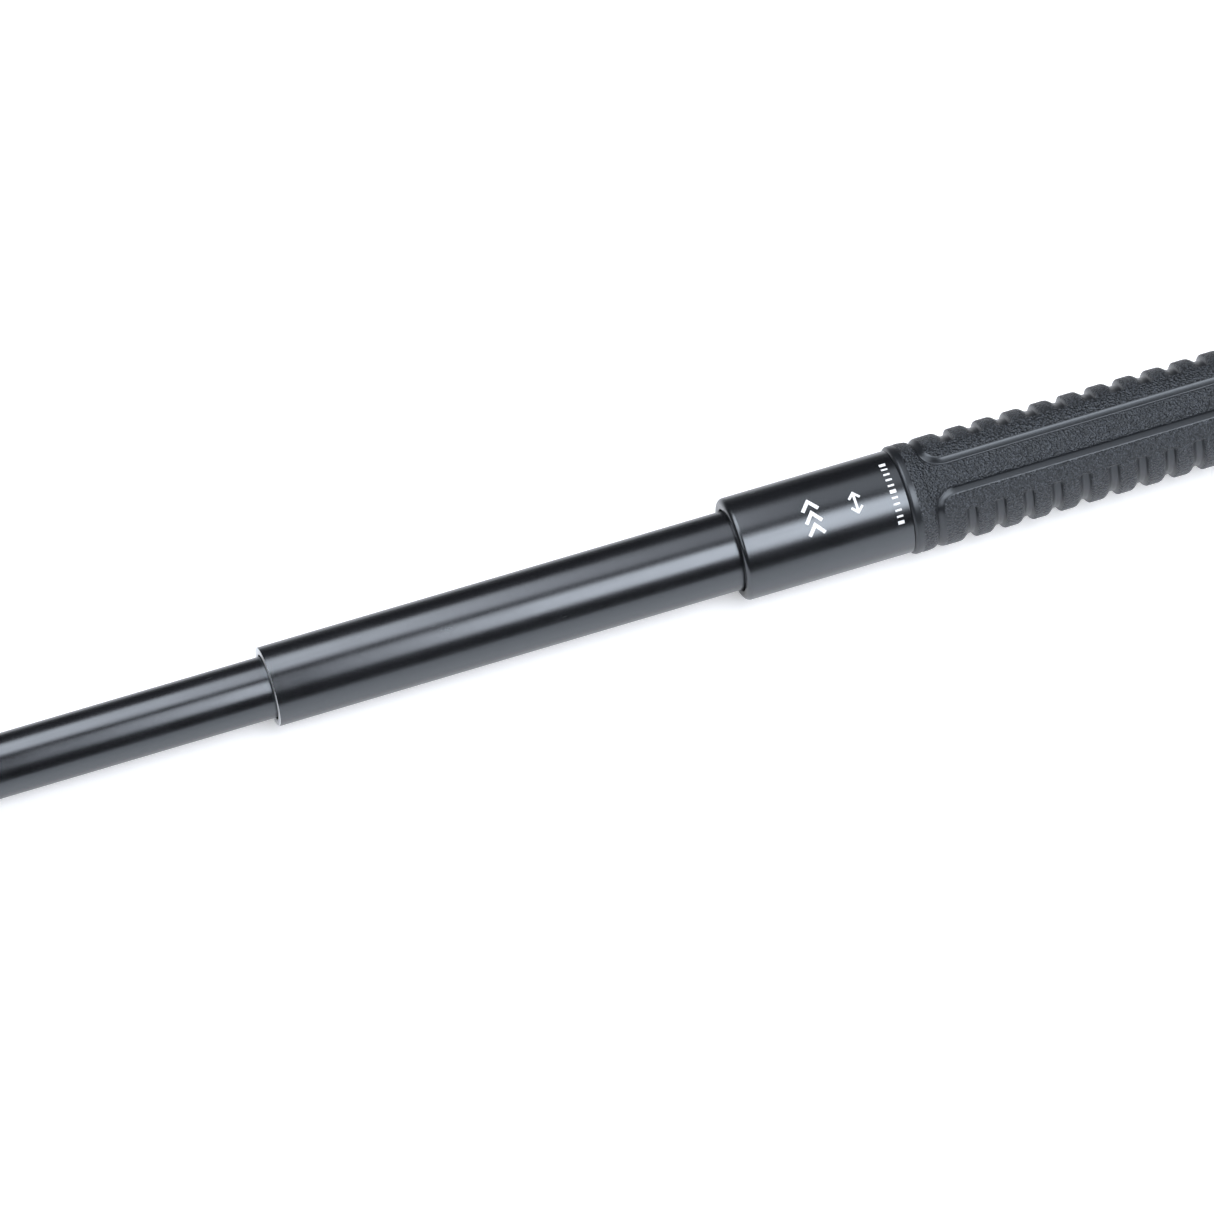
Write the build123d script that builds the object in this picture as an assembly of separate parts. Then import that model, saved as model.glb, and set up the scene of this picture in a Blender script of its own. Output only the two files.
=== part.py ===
from build123d import *

import math
import os

# A telescopic baton lying on its side, fully extended. Millimetres.
# +X runs along the baton from its tip to its tail cap, and +Z is up.
# The origin is under the middle of its length, on the surface it lies on.

# Lengths along the baton
TOTAL_LENGTH = 432.0
HANDLE_LENGTH = 178.0
MIDDLE_SHOWN = 119.5
BARREL_SHOWN = 43.4
CAP_THICKNESS = 10.3
KNOB_LENGTH = 12.0

TIP_END = -TOTAL_LENGTH / 2
TAIL_END = TOTAL_LENGTH / 2
HANDLE_MOUTH = TAIL_END - HANDLE_LENGTH
MIDDLE_MOUTH = HANDLE_MOUTH - MIDDLE_SHOWN
TIP_TUBE_FRONT = TIP_END + KNOB_LENGTH
GRIP_FRONT = HANDLE_MOUTH + BARREL_SHOWN
HANDLE_TUBE_REAR = TAIL_END - CAP_THICKNESS

# Outer radii
BARREL_R = 13.0
MIDDLE_R = 10.0
TIP_R = 7.75
GRIP_R = 13.75
KNOB_R = 9.0
CAP_R = 16.6
CAP_FLAT_R = 16.0
GRIP_REAR_R = 15.6
AXIS_HEIGHT = CAP_FLAT_R

# Friction lock: each tube's flared tail seats in the cone inside the next mouth
LOCK_CLEARANCE = 0.06
FLARE_START_SHARE = 0.45
FLARE_BLEND = 6.0

HANDLE_MOUTH_BORE_R = 10.4
HANDLE_BORE_R = 10.9
HANDLE_CONE_START = HANDLE_MOUTH + 3.0
HANDLE_CONE_END = HANDLE_MOUTH + 27.0
MIDDLE_TAIL = HANDLE_MOUTH + 28.0

MIDDLE_MOUTH_BORE_R = 8.2
MIDDLE_BORE_R = 8.75
MIDDLE_CONE_START = MIDDLE_MOUTH + 2.0
MIDDLE_CONE_END = MIDDLE_MOUTH + 23.0
TIP_TAIL = MIDDLE_MOUTH + 24.0

TIP_BORE_R = 6.15
MIDDLE_TAIL_BORE_R = 9.55
TIP_TAIL_BORE_R = 7.0
TAIL_BORE_FLARE_LENGTH = 14.0

# Handle tube
MOUTH_ROUND = 1.4
MOUTH_INNER_ROUND = 0.4
MIDDLE_MOUTH_ROUND = 0.35
GRIP_SEAT_R = 12.4
THREAD_BORE_R = 11.5
THREAD_LENGTH = 15.7
THREAD_START = HANDLE_TUBE_REAR - THREAD_LENGTH
END_CHAMFER = 0.3

# Grip sleeve
GRIP_LIP_ROUND = 0.7
GRIP_FLOOR_R = 13.15
COLLAR_LENGTH = 5.6
COLLAR_SLOPE = 0.6
GROOVE_WIDTH = 1.5
STRIP_HALF_ANGLE = 14.5
PANEL_CORNER_ROUND = 5.0
SLOT_FLOOR_R = 12.8
SLOT_WIDTH = 3.8
SLOT_END_ROUND = 1.85
SLOT_PITCH = 7.43
SLOT_COUNT = 13
SLOT_HALF_ANGLE = 49.0
FIRST_SLOT = 15.1
REAR_COLLAR_LENGTH = 12.7
REAR_COLLAR_BLEND = 14.0
GRIP_ROLL = 18.0

# Tail cap and its retaining clip
BOSS_R = 11.4
BOSS_LENGTH = THREAD_LENGTH
BOSS_CHAMFER = 0.6
CAP_SEAT_GAP = 0.05
CAP_FRONT_ROUND = 0.6
CAP_EDGE_ROUND = 1.4
FLAT_COUNT = 8
DISC_RECESS_R = 9.5
DISC_R = 9.45
DISC_THICKNESS = 1.4
DISC_RECESS_DEPTH = 1.6
RING_GROOVE_R = 10.1
RING_GROOVE_WIDTH = 2.0
RING_GROOVE_SETBACK = 1.5
RING_SECTION_R = 0.65
RING_CENTRE_R = 10.8

BUFFER_BORE_R = 6.5
BUFFER_R = 10.4
BUFFER_THICKNESS = 2.5

CLIP_LENGTH = 38.0
CLIP_WIDTH = 5.0
CLIP_THICKNESS = 0.6
CLIP_BASE_HALF = 4.4
CLIP_BOW_HALF = 5.45
CLIP_END_HALF = 4.0
CLIP_BOW_AT = 20.0
CLIP_BOW_ROUND = 12.0
CLIP_BEND = 1.0

SCREW_R = 2.0
SCREW_LENGTH = 8.0
SCREW_HEAD_R = 3.5
SCREW_HEAD_HEIGHT = 2.4
SCREW_HEAD_ROUND = 0.5
SCREW_TIP_CHAMFER = 0.4
SCREW_TIP_GAP = 0.5
HEX_SOCKET_ACROSS = 2.5
HEX_SOCKET_DEPTH = 1.3
WASHER_R = 3.6
WASHER_BORE_R = 2.1
WASHER_THICKNESS = 0.8
WASHER_GAP_WIDTH = 0.7
WASHER_GAP_ANGLE = 35.0

# Tip knob
KNOB_NOSE_ROUND = 4.0
KNOB_BACK_ROUND = 0.8
KNOB_SPIGOT_LENGTH = 14.0


def lifted(shape):
    """Moves a shape made round the X axis up to the baton's own axis."""
    return shape.moved(Location((0, 0, AXIS_HEIGHT)))


def turned(*corners):
    """A turned solid. Each corner is (x, radius) or (x, radius, rounding)."""
    points = [(corner[0], corner[1]) for corner in corners]
    rounding = [corner[2] if len(corner) > 2 else 0 for corner in corners]
    if any(rounding):
        outline = FilletPolyline(*points, radius=rounding, close=True)
    else:
        outline = Polyline(*points, close=True)
    return revolve(make_face(outline), Axis.X)


def cone_r(x, start, end, start_r, end_r):
    """The lock cone's radius at x."""
    return start_r + (end_r - start_r) * (x - start) / (end - start)


def flared_tube(front, tail, radius, bore, tail_bore, cone, mouth_bore=None):
    """A drawn tube whose flared tail follows the next tube's lock cone.

    cone is (start, end, start radius, end radius) of the cone it seats in.
    mouth_bore is (start, end, radius) of this tube's own lock cone, if any.
    """
    match_start = cone[0] + (cone[1] - cone[0]) * FLARE_START_SHARE
    match_r = cone_r(match_start, *cone) - LOCK_CLEARANCE
    flare_r = cone[3] - LOCK_CLEARANCE
    outer = [
        (front, radius, MIDDLE_MOUTH_ROUND if mouth_bore else 0),
        (match_start - FLARE_BLEND, radius),
        (match_start, match_r),
        (cone[1] - LOCK_CLEARANCE, flare_r),
        (tail - END_CHAMFER, flare_r),
        (tail, flare_r - END_CHAMFER),
    ]
    inner = [
        (tail, tail_bore),
        (tail - TAIL_BORE_FLARE_LENGTH, bore),
    ]
    if mouth_bore:
        inner += [(mouth_bore[1], bore), (mouth_bore[0], mouth_bore[2])]
        inner += [(front, mouth_bore[2], END_CHAMFER)]
    else:
        inner += [(front, bore)]
    return lifted(turned(*outer, *inner))


def middle_tube():
    cone = (HANDLE_CONE_START, HANDLE_CONE_END, HANDLE_MOUTH_BORE_R, HANDLE_BORE_R)
    own_cone = (MIDDLE_CONE_START, MIDDLE_CONE_END, MIDDLE_MOUTH_BORE_R)
    return flared_tube(
        MIDDLE_MOUTH, MIDDLE_TAIL, MIDDLE_R, MIDDLE_BORE_R, MIDDLE_TAIL_BORE_R,
        cone, own_cone,
    )


def tip_tube():
    cone = (MIDDLE_CONE_START, MIDDLE_CONE_END, MIDDLE_MOUTH_BORE_R, MIDDLE_BORE_R)
    return flared_tube(
        TIP_TUBE_FRONT, TIP_TAIL, TIP_R, TIP_BORE_R, TIP_TAIL_BORE_R, cone,
    )


def handle_tube():
    """The outer tube: a full-size barrel in front, and a slimmer grip seat."""
    return lifted(turned(
        (HANDLE_MOUTH, BARREL_R, MOUTH_ROUND),
        (GRIP_FRONT, BARREL_R),
        (GRIP_FRONT, GRIP_SEAT_R),
        (HANDLE_TUBE_REAR, GRIP_SEAT_R),
        (HANDLE_TUBE_REAR, THREAD_BORE_R + END_CHAMFER),
        (HANDLE_TUBE_REAR - END_CHAMFER, THREAD_BORE_R),
        (THREAD_START, THREAD_BORE_R),
        (THREAD_START, HANDLE_BORE_R),
        (HANDLE_CONE_END, HANDLE_BORE_R),
        (HANDLE_CONE_START, HANDLE_MOUTH_BORE_R),
        (HANDLE_MOUTH, HANDLE_MOUTH_BORE_R, MOUTH_INNER_ROUND),
    ))


def ring_sector(x0, x1, r0, r1, half_angle, corner_round):
    """A curved slab centred on +Y. Its corners, the edges that run outwards from the
    axis and not along it, are rounded."""
    section = make_face(Polyline((x0, r0), (x1, r0), (x1, r1), (x0, r1), close=True))
    slab = revolve(section, Axis.X, revolution_arc=2 * half_angle)
    slab = slab.rotate(Axis.X, -half_angle)
    corners = [
        edge for edge in slab.edges().filter_by(GeomType.LINE)
        if abs(edge.tangent_at(0.5).X) < 0.5
    ]
    return fillet(corners, corner_round)


def grip_sleeve():
    """A moulded rubber sleeve: two long strips and two slotted panels between a
    front collar and a rear collar, which flares towards the tail cap."""
    rear = HANDLE_TUBE_REAR
    floor_start = GRIP_FRONT + COLLAR_LENGTH
    floor_end = rear - REAR_COLLAR_LENGTH
    sleeve = turned(
        (GRIP_FRONT, GRIP_SEAT_R),
        (GRIP_FRONT, GRIP_R, GRIP_LIP_ROUND),
        (floor_start, GRIP_R),
        (floor_start + COLLAR_SLOPE, GRIP_FLOOR_R),
        (floor_end - COLLAR_SLOPE, GRIP_FLOOR_R),
        (floor_end, GRIP_R),
        (floor_end + REAR_COLLAR_LENGTH / 2, GRIP_R, REAR_COLLAR_BLEND),
        (rear, GRIP_REAR_R, GRIP_LIP_ROUND),
        (rear, GRIP_SEAT_R),
    )
    panel = ring_sector(
        floor_start + GROOVE_WIDTH, floor_end - GROOVE_WIDTH,
        (GRIP_SEAT_R + GRIP_FLOOR_R) / 2, GRIP_R,
        90 - STRIP_HALF_ANGLE, PANEL_CORNER_ROUND,
    )
    first = GRIP_FRONT + FIRST_SLOT
    slot = ring_sector(
        first - SLOT_WIDTH / 2, first + SLOT_WIDTH / 2,
        SLOT_FLOOR_R, GRIP_R + 1, SLOT_HALF_ANGLE, SLOT_END_ROUND,
    )
    side_slots = [slot.moved(Location((n * SLOT_PITCH, 0, 0))) for n in range(SLOT_COUNT)]
    slots = side_slots + [one.rotate(Axis.X, 180) for one in side_slots]
    sleeve = sleeve + [panel, panel.rotate(Axis.X, 180)] - slots
    return lifted(sleeve.rotate(Axis.X, GRIP_ROLL))


def tip_knob():
    """A solid rounded nose with a spigot pressed into the tip tube."""
    back = TIP_TUBE_FRONT
    return lifted(turned(
        (TIP_END, 0),
        (TIP_END, KNOB_R, KNOB_NOSE_ROUND),
        (back, KNOB_R, KNOB_BACK_ROUND),
        (back, TIP_BORE_R),
        (back + KNOB_SPIGOT_LENGTH, TIP_BORE_R),
        (back + KNOB_SPIGOT_LENGTH, 0),
    ))


def tail_cap():
    """The screw-in cap: flange with eight flats, boss, ring groove, disc recess, hole."""
    boss_face = HANDLE_TUBE_REAR - BOSS_LENGTH
    seat = HANDLE_TUBE_REAR + CAP_SEAT_GAP
    groove_end = seat - RING_GROOVE_SETBACK
    groove_start = groove_end - RING_GROOVE_WIDTH
    hole_end = boss_face + SCREW_LENGTH
    recess = TAIL_END - DISC_RECESS_DEPTH
    cap = turned(
        (boss_face, SCREW_R),
        (boss_face, BOSS_R - BOSS_CHAMFER),
        (boss_face + BOSS_CHAMFER, BOSS_R),
        (groove_start, BOSS_R),
        (groove_start, RING_GROOVE_R),
        (groove_end, RING_GROOVE_R),
        (groove_end, BOSS_R),
        (seat, BOSS_R),
        (seat, CAP_R, CAP_FRONT_ROUND),
        (TAIL_END, CAP_R, CAP_EDGE_ROUND),
        (TAIL_END, DISC_RECESS_R),
        (recess, DISC_RECESS_R),
        (recess, 0),
        (hole_end, 0),
        (hole_end, SCREW_R),
    )
    beyond = Pos((seat + TAIL_END) / 2, 0, CAP_FLAT_R + CAP_R / 2) * Box(
        2 * CAP_THICKNESS, 2 * CAP_R, CAP_R)
    cuts = [beyond.rotate(Axis.X, n * 360 / FLAT_COUNT) for n in range(FLAT_COUNT)]
    return lifted(cap - cuts)


def cap_end_disc():
    back = TAIL_END - DISC_RECESS_DEPTH
    return lifted(turned(
        (back, 0),
        (back, DISC_R),
        (back + DISC_THICKNESS, DISC_R, END_CHAMFER),
        (back + DISC_THICKNESS, 0),
    ))


def cap_o_ring():
    centre = HANDLE_TUBE_REAR + CAP_SEAT_GAP - RING_GROOVE_SETBACK - RING_GROOVE_WIDTH / 2
    ring = Torus(RING_CENTRE_R, RING_SECTION_R).rotate(Axis.Y, 90)
    return lifted(ring.moved(Location((centre, 0, 0))))


def buffer_ring():
    back = HANDLE_TUBE_REAR - BOSS_LENGTH
    front = back - BUFFER_THICKNESS
    return lifted(turned(
        (front, BUFFER_BORE_R, END_CHAMFER),
        (front, BUFFER_R, END_CHAMFER),
        (back, BUFFER_R),
        (back, BUFFER_BORE_R),
    ))


def retaining_clip():
    """A U-shaped leaf spring whose bowed legs grip the bore of the tip tube."""
    back = HANDLE_TUBE_REAR - BOSS_LENGTH
    t = CLIP_THICKNESS
    bow = back - CLIP_BOW_AT
    end = back - CLIP_LENGTH
    outer = [
        (end, CLIP_END_HALF), (bow, CLIP_BOW_HALF), (back, CLIP_BASE_HALF),
        (back, -CLIP_BASE_HALF), (bow, -CLIP_BOW_HALF), (end, -CLIP_END_HALF),
    ]
    inner = [
        (end, -CLIP_END_HALF + t), (bow, -CLIP_BOW_HALF + t), (back - t, -CLIP_BASE_HALF + t),
        (back - t, CLIP_BASE_HALF - t), (bow, CLIP_BOW_HALF - t), (end, CLIP_END_HALF - t),
    ]
    bend_out, bend_in = CLIP_BEND, CLIP_BEND - t
    rounding = []
    for bend in (bend_out, bend_in):
        rounding += [0, CLIP_BOW_ROUND, bend, bend, CLIP_BOW_ROUND, 0]
    outline = FilletPolyline(*outer, *inner, radius=rounding, close=True)
    side = make_face(Plane.XZ * outline)
    leaf = extrude(side, CLIP_WIDTH / 2, both=True)
    hole = Pos(back, 0, 0) * Cylinder(SCREW_R, 4 * t, rotation=(0, 90, 0))
    return lifted(leaf - hole)


def clip_lock_washer():
    """A split spring washer under the clip screw's head."""
    back = HANDLE_TUBE_REAR - BOSS_LENGTH - CLIP_THICKNESS
    front = back - WASHER_THICKNESS
    washer = turned(
        (front, WASHER_BORE_R), (front, WASHER_R), (back, WASHER_R), (back, WASHER_BORE_R),
    )
    gap = Pos((front + back) / 2, 0, WASHER_R) * Box(
        2 * WASHER_THICKNESS, WASHER_GAP_WIDTH, 2 * WASHER_R)
    return lifted(washer - gap.rotate(Axis.X, WASHER_GAP_ANGLE))


def clip_screw():
    """A cap-head screw that holds the clip to the boss, with a hexagon socket."""
    under_head = HANDLE_TUBE_REAR - BOSS_LENGTH - CLIP_THICKNESS - WASHER_THICKNESS
    head_face = under_head - SCREW_HEAD_HEIGHT
    shank_end = HANDLE_TUBE_REAR - BOSS_LENGTH + SCREW_LENGTH - SCREW_TIP_GAP
    screw = turned(
        (head_face, 0),
        (head_face, SCREW_HEAD_R, SCREW_HEAD_ROUND),
        (under_head, SCREW_HEAD_R),
        (under_head, SCREW_R),
        (shank_end - SCREW_TIP_CHAMFER, SCREW_R),
        (shank_end, SCREW_R - SCREW_TIP_CHAMFER),
        (shank_end, 0),
    )
    corner_r = HEX_SOCKET_ACROSS / math.sqrt(3)
    socket = extrude(Plane.YZ * RegularPolygon(corner_r, 6), HEX_SOCKET_DEPTH)
    return lifted(screw - socket.moved(Location((head_face, 0, 0))))


PARTS = {
    "handle_tube": handle_tube,
    "grip_sleeve": grip_sleeve,
    "middle_tube": middle_tube,
    "tip_tube": tip_tube,
    "tip_knob": tip_knob,
    "tail_cap": tail_cap,
    "cap_end_disc": cap_end_disc,
    "cap_o_ring": cap_o_ring,
    "buffer_ring": buffer_ring,
    "retaining_clip": retaining_clip,
    "clip_lock_washer": clip_lock_washer,
    "clip_screw": clip_screw,
}

os.makedirs("parts", exist_ok=True)
for name, make in PARTS.items():
    export_step(make(), os.path.join("parts", name + ".step"))
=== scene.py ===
import math

import bpy
import numpy as np
from mathutils import Matrix, Vector


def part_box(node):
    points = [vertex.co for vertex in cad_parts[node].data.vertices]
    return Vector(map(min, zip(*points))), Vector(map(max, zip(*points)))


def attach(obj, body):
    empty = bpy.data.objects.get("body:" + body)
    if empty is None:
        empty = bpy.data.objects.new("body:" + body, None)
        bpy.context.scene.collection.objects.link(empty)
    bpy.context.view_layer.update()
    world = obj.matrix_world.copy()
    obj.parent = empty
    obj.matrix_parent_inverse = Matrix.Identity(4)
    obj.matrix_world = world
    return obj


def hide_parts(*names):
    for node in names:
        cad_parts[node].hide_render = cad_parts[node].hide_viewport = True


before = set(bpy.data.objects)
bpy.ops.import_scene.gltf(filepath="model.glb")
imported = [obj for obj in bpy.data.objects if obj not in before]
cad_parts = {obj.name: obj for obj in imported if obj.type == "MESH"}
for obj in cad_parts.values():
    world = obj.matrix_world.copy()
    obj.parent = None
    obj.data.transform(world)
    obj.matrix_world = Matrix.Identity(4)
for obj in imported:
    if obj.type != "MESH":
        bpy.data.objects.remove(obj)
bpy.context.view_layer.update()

MM = 0.001

# ---------------------------------------------------------------------------
# Places along the baton, read from the frame (mm along X)
# ---------------------------------------------------------------------------


def ends(node):
    """The lowest and highest X of a CAD node, in mm."""
    low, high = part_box(node)
    return low.x / MM, high.x / MM


MOUTH, HANDLE_REAR = ends("handle_tube")
MIDDLE_MOUTH, MIDDLE_TAIL = ends("middle_tube")
TIP_FRONT, TIP_TAIL = ends("tip_tube")
KNOB_FRONT, SPIGOT_END = ends("tip_knob")
GRIP_FRONT, GRIP_REAR = ends("grip_sleeve")
BOSS_FACE, TAIL_END = ends("tail_cap")
DISC_BACK, DISC_FRONT = ends("cap_end_disc")
RING_FRONT, RING_BACK = ends("cap_o_ring")
BUFFER_FRONT, BUFFER_BACK = ends("buffer_ring")
SHANK_END = ends("clip_screw")[1]
GRIP_LENGTH = GRIP_REAR - GRIP_FRONT

cap_low, cap_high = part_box("tail_cap")
AXIS_Z = (cap_low.z + cap_high.z) / 2 / MM
CAP_FLAT_R = (cap_high.z - cap_low.z) / 2 / MM

# Outer and inner radii of the turned pieces (mm)
BARREL_R, GRIP_SEAT_R, THREAD_BORE_R = 13.0, 12.4, 11.5
HANDLE_MOUTH_BORE_R, HANDLE_BORE_R = 10.4, 10.9
MIDDLE_R, MIDDLE_MOUTH_BORE_R, MIDDLE_BORE_R, MIDDLE_TAIL_BORE_R = 10.0, 8.2, 8.75, 9.55
TIP_R, TIP_BORE_R, TIP_TAIL_BORE_R = 7.75, 6.15, 7.0
KNOB_R = 9.0
CAP_R = 16.6
BOSS_R = 11.4
RING_GROOVE_R, RING_SECTION_R, RING_CENTRE_R = 10.1, 0.65, 10.8
DISC_RECESS_R, DISC_R = 9.5, 9.45
BUFFER_BORE_R, BUFFER_R = 6.5, 10.4
SCREW_R = 2.0
LOCK_CLEARANCE = 0.06
GRIP_ROLL = math.radians(18)

SEGMENTS = 192
SHARP_ANGLE = math.radians(38)
FEWEST_STEPS, MOST_STEPS = 3, 12
BASE_STEPS, STEPS_PER_MM = 4, 4
TINY = 1e-6


# ---------------------------------------------------------------------------
# Mesh helpers
# ---------------------------------------------------------------------------


def arc(start, stop, centre, steps):
    """Points from start to stop about a centre."""
    spoke_a, spoke_b = start - centre, stop - centre
    turn = spoke_a.angle(spoke_b)
    points = []
    for step in range(steps + 1):
        t = step / steps
        spoke = spoke_a * math.sin((1 - t) * turn) + spoke_b * math.sin(t * turn)
        points.append(tuple(centre + spoke / math.sin(turn)))
    return points


def rounded(corners, closed):
    """Points of an outline whose corners are (x, r) or (x, r, rounding), in mm."""
    points = []
    count = len(corners)
    for i, corner in enumerate(corners):
        here = Vector(corner[:2])
        radius = corner[2] if len(corner) > 2 else 0
        at_end = not closed and i in (0, count - 1)
        if not radius or at_end:
            points.append(tuple(here))
            continue
        before = (Vector(corners[i - 1][:2]) - here).normalized()
        after = (Vector(corners[(i + 1) % count][:2]) - here).normalized()
        half = before.angle(after) / 2
        reach = radius / math.tan(half)
        centre = here + (before + after).normalized() * (radius / math.sin(half))
        steps = round(BASE_STEPS + STEPS_PER_MM * radius)
        steps = max(FEWEST_STEPS, min(MOST_STEPS, steps))
        points += arc(here + before * reach, here + after * reach, centre, steps)
    return points


def mesh_object(name, vertices, faces, sharp=SHARP_ANGLE):
    """A smooth-shaded object from vertices in mm about the baton's axis."""
    mesh = bpy.data.meshes.new(name)
    placed = [(x * MM, y * MM, (z + AXIS_Z) * MM) for x, y, z in vertices]
    mesh.from_pydata(placed, [], faces)
    mesh.validate()
    mesh.polygons.foreach_set("use_smooth", [True] * len(mesh.polygons))
    mesh.set_sharp_from_angle(angle=sharp)
    mesh.update()
    piece = bpy.data.objects.new(name, mesh)
    bpy.context.scene.collection.objects.link(piece)
    return piece


def lathe(name, corners, solid=False, shape=None):
    """Turns an outline about the axis. A solid's outline starts and ends on the axis.

    shape(x, r, angle) may return another radius, for flats and threads.
    """
    angles = [2 * math.pi * i / SEGMENTS for i in range(SEGMENTS)]
    vertices, rings = [], []
    for x, r in rounded(corners, closed=not solid):
        if r < TINY:
            rings.append([len(vertices)] * SEGMENTS)
            vertices.append((x, 0, 0))
            continue
        rings.append(list(range(len(vertices), len(vertices) + SEGMENTS)))
        for angle in angles:
            radius = shape(x, r, angle) if shape else r
            vertices.append((x, radius * math.cos(angle), radius * math.sin(angle)))
    pairs = list(zip(rings, rings[1:]))
    if not solid:
        pairs.append((rings[-1], rings[0]))
    faces = []
    for ring_a, ring_b in pairs:
        for i in range(SEGMENTS):
            j = (i + 1) % SEGMENTS
            face = tuple(dict.fromkeys((ring_a[i], ring_a[j], ring_b[j], ring_b[i])))
            if len(face) > 2:
                faces.append(face)
    return mesh_object(name, vertices, faces)


def smoothstep(low, high, value):
    """0 below low, 1 above high, and a smooth S between them."""
    t = np.clip((value - low) / (high - low), 0.0, 1.0)
    return t * t * (3 - 2 * t)


# ---------------------------------------------------------------------------
# Material helpers
# ---------------------------------------------------------------------------


NOISE_LOW, NOISE_HIGH = 0.3, 0.7
COLOUR_A, COLOUR_B = 6, 7
COLOUR_RESULT = 2


class Nodes:
    """A short way to write a material's node tree."""

    def __init__(self, name):
        self.material = bpy.data.materials.new(name)
        self.material.use_nodes = True
        self.tree = self.material.node_tree
        self.shader = self.tree.nodes["Principled BSDF"]
        self.coords = self.tree.nodes.new("ShaderNodeTexCoord").outputs["Object"]

    def link(self, output, socket):
        self.tree.links.new(output, socket)

    def node(self, kind, inputs=None, **settings):
        made = self.tree.nodes.new("ShaderNode" + kind)
        for key, value in settings.items():
            setattr(made, key, value)
        for key, value in (inputs or {}).items():
            if isinstance(value, bpy.types.NodeSocket):
                self.link(value, made.inputs[key])
            else:
                made.inputs[key].default_value = value
        return made

    def stretched(self, scale):
        """Coordinates scaled by a different number along each axis."""
        return self.node("Mapping", {"Vector": self.coords, "Scale": scale}).outputs[0]

    def noise(self, scale, detail=2.0, vector=None):
        vector = vector or self.coords
        inputs = {"Vector": vector, "Scale": scale, "Detail": detail}
        return self.node("TexNoise", inputs).outputs["Fac"]

    def cells(self, scale, smoothness=0.6):
        inputs = {"Vector": self.coords, "Scale": scale, "Smoothness": smoothness}
        return self.node("TexVoronoi", inputs, feature="SMOOTH_F1").outputs["Distance"]

    def map_range(self, value, from_low, from_high, low, high):
        inputs = {"Value": value, "From Min": from_low, "From Max": from_high,
                  "To Min": low, "To Max": high}
        return self.node("MapRange", inputs).outputs["Result"]

    def spread(self, noise, low, high):
        """Maps the span that a noise mostly covers to low..high."""
        return self.map_range(noise, NOISE_LOW, NOISE_HIGH, low, high)

    def maths(self, operation, a, b):
        return self.node("Math", {0: a, 1: b}, operation=operation).outputs[0]

    def mix(self, factor, a, b):
        """Blends two colours, each a socket or three numbers."""
        made = self.node("Mix", {"Factor": factor}, data_type="RGBA")
        for index, value in ((COLOUR_A, a), (COLOUR_B, b)):
            if isinstance(value, bpy.types.NodeSocket):
                self.link(value, made.inputs[index])
            else:
                made.inputs[index].default_value = (*value, 1)
        return made.outputs[COLOUR_RESULT]

    def bump(self, height, distance):
        """Bumps the surface by a height, where 1 stands for a distance in metres."""
        inputs = {"Height": height, "Distance": distance, "Strength": 1.0}
        self.link(self.node("Bump", inputs).outputs[0], self.shader.inputs["Normal"])

    def set(self, **values):
        """Sets the shader's inputs by name, to a socket or to a plain value."""
        for name, value in values.items():
            socket = self.shader.inputs[name.replace("_", " ")]
            if isinstance(value, bpy.types.NodeSocket):
                self.link(value, socket)
            else:
                socket.default_value = value


# Each material's darkest and lightest tone, as linear colours
COATING_TONES = (0.0042, 0.0044, 0.0052), (0.0062, 0.0065, 0.0076)
SMOOTH_RUBBER_TONES = (0.0060, 0.0066, 0.0080), (0.0082, 0.0090, 0.0108)
# Pebble valleys and crowns: painted shade and painted highlight on the same rubber, not two
# colours of it
PEBBLE_VALLEY_SHADE_TONES = (0.0040, 0.0044, 0.0053), (0.0056, 0.0061, 0.0073)
PEBBLE_CROWN_HIGHLIGHT_TONES = (0.034, 0.038, 0.046), (0.044, 0.049, 0.059)
ANODISED_TONES = (0.011, 0.012, 0.014), (0.017, 0.018, 0.021)
SEAL_TONES = (0.010, 0.010, 0.011), (0.018, 0.018, 0.019)
DISC_TONES = (0.020, 0.021, 0.023), (0.028, 0.029, 0.032)
INK_TONES = (0.72, 0.73, 0.75), (0.90, 0.91, 0.92)
SPRING_STEEL_TONE = (0.46, 0.45, 0.43)
CUT_STEEL_TONE = (0.80, 0.81, 0.83)
ZINC_TONE = (0.62, 0.63, 0.65)

# The faint blue of the highlights on the coating and the rubber
COOL_TINT = (0.87, 0.93, 1.0, 1)

# Bare steel: its darkest tone and its roughness, as shares of their usual values
STEEL_DARKEST = 0.8
STEEL_SMOOTHEST, STEEL_ROUGHEST = 0.8, 1.3

# Grip rubber: what the fine noise adds to the pebbles, and the cell distances
# from a pebble's crown (painted highlight) to its valley (painted shade)
PEBBLE_FINENESS = 0.6
PEBBLE_CROWN, PEBBLE_VALLEY = 0.15, 0.55


def black_coating():
    """Satin black coating on drawn steel: a fine grain with faint lengthways streaks."""
    n = Nodes("black_coating")
    grain = n.noise(scale=2600, detail=3)
    streaks = n.noise(scale=1, detail=4, vector=n.stretched((60, 1400, 1400)))
    clouds = n.noise(scale=90, detail=3)
    tone = n.mix(clouds, *COATING_TONES)
    streaked = n.spread(streaks, low=0.225, high=0.260)
    clouded = n.spread(clouds, low=-0.015, high=0.02)
    rough = n.maths("ADD", streaked, clouded)
    n.set(Base_Color=tone, Roughness=rough, IOR=1.8, Specular_Tint=COOL_TINT)
    n.bump(grain, distance=0.000008)
    return n.material


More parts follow.
